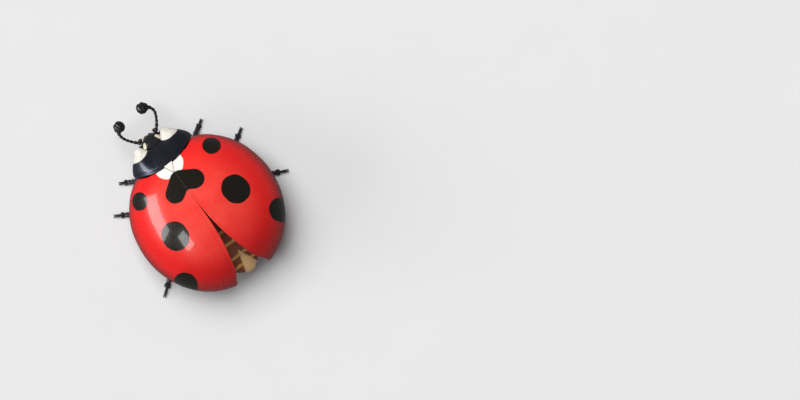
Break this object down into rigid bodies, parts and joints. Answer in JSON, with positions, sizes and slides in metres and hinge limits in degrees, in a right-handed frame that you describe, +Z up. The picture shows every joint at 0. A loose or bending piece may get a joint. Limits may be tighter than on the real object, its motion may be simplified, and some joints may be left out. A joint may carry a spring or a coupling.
{
  "type": "seven-spot ladybird",
  "caption": "Life-size standing ladybird with red spotted wing cases a little parted, black pronotum, head, feelers and legs.",
  "frame": {"origin": "bottom centre of the bounding box, on the ground under the body", "axes": "-Y forwards along the body, towards the head; +X to the insect's left; +Z up"},
  "size_m": [0.0078, 0.009, 0.0039],
  "materials": {
    "wing_case": "glossy red shell with black spots",
    "shield": "glossy black shell",
    "shell": "satin black shell",
    "eye": "glossy black",
    "abdomen": "dull dark brown",
    "tail": "dull tan",
    "membrane": "thin amber membrane"
  },
  "bodies": {
    "root": {"abdomen": "abdomen", "antenna_club_left": "shell", "antenna_club_right": "shell", "antenna_left": "shell", "antenna_right": "shell", "elytron_left": "wing_case", "elytron_right": "wing_case", "eye_left": "eye", "eye_right": "eye", "femur_front_left": "shell", "femur_front_right": "shell", "femur_hind_left": "shell", "femur_hind_right": "shell", "femur_mid_left": "shell", "femur_mid_right": "shell", "head": "shell", "hindwing_left": "membrane", "hindwing_right": "membrane", "labrum": "shell", "palp_left": "shell", "palp_right": "shell", "pronotum": "shield", "prothorax": "shell", "pygidium": "tail", "scutellum": "shield", "tarsus_front_left": "shell", "tarsus_front_right": "shell", "tarsus_hind_left": "shell", "tarsus_hind_right": "shell", "tarsus_mid_left": "shell", "tarsus_mid_right": "shell", "thorax": "shell", "tibia_front_left": "shell", "tibia_front_right": "shell", "tibia_hind_left": "shell", "tibia_hind_right": "shell", "tibia_mid_left": "shell", "tibia_mid_right": "shell"}
  },
  "joints": []
}
